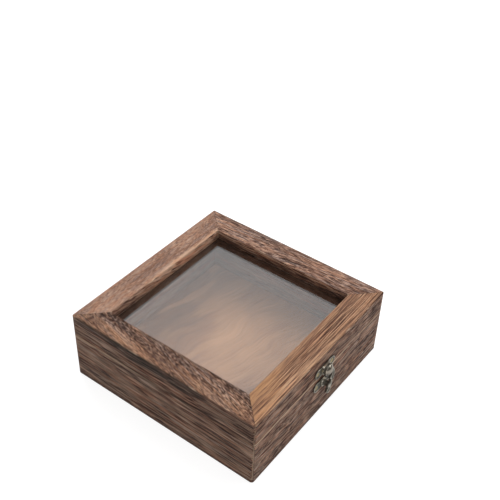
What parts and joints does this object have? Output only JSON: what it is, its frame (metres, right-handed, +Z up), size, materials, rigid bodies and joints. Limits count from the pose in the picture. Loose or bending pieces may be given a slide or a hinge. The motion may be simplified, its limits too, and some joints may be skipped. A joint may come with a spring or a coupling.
{
  "type": "insect specimen box",
  "caption": "Square torched-wood specimen box with a mitred glazed lid on butt hinges, a swinging hook latch with keeper post, and a soft pinning board inside.",
  "frame": {"origin": "middle of the underside of the base panel", "axes": "+Z up, front with the latch towards -Y, +X to the right seen from the front"},
  "size_m": [0.18, 0.191, 0.0645],
  "materials": {
    "burnt_wood": "torched, waxed",
    "base_wood": "torched",
    "pinning_wood": "raw, smooth",
    "glass": "polished",
    "aged_bronze": "antiqued, worn edges",
    "screw_brass": "satin"
  },
  "bodies": {
    "case": {"front_board": "burnt_wood", "back_board": "burnt_wood", "left_board": "burnt_wood", "right_board": "burnt_wood", "base_panel": "base_wood", "pinning_board": "pinning_wood", "keeper_plate": "aged_bronze", "keeper_post": "aged_bronze", "keeper_plate_screws": "screw_brass", "left_hinge_body_leaf": "aged_bronze", "right_hinge_body_leaf": "aged_bronze", "left_hinge_pin": "aged_bronze", "right_hinge_pin": "aged_bronze", "hinge_body_screws": "screw_brass"},
    "lid": {"lid_front_rail": "burnt_wood", "lid_back_rail": "burnt_wood", "lid_left_rail": "burnt_wood", "lid_right_rail": "burnt_wood", "glass_pane": "glass", "hook_plate": "aged_bronze", "hook_plate_screws": "screw_brass", "left_hinge_lid_leaf": "aged_bronze", "right_hinge_lid_leaf": "aged_bronze", "hinge_lid_screws": "screw_brass"},
    "hook": {"hook_arm": "aged_bronze", "hook_rivet": "aged_bronze"}
  },
  "joints": [
    {"name": "lid_hinge", "type": "hinge", "parent": "case", "child": "lid", "pos_m": [0, 0.0919, 0.0435], "axis": [-1, 0, 0], "range_deg": [0, 180]},
    {"name": "hook_swing", "type": "hinge", "parent": "lid", "child": "hook", "pos_m": [0, -0.09, 0.0499], "axis": [0, -1, 0], "range_deg": [-8, 100]}
  ]
}
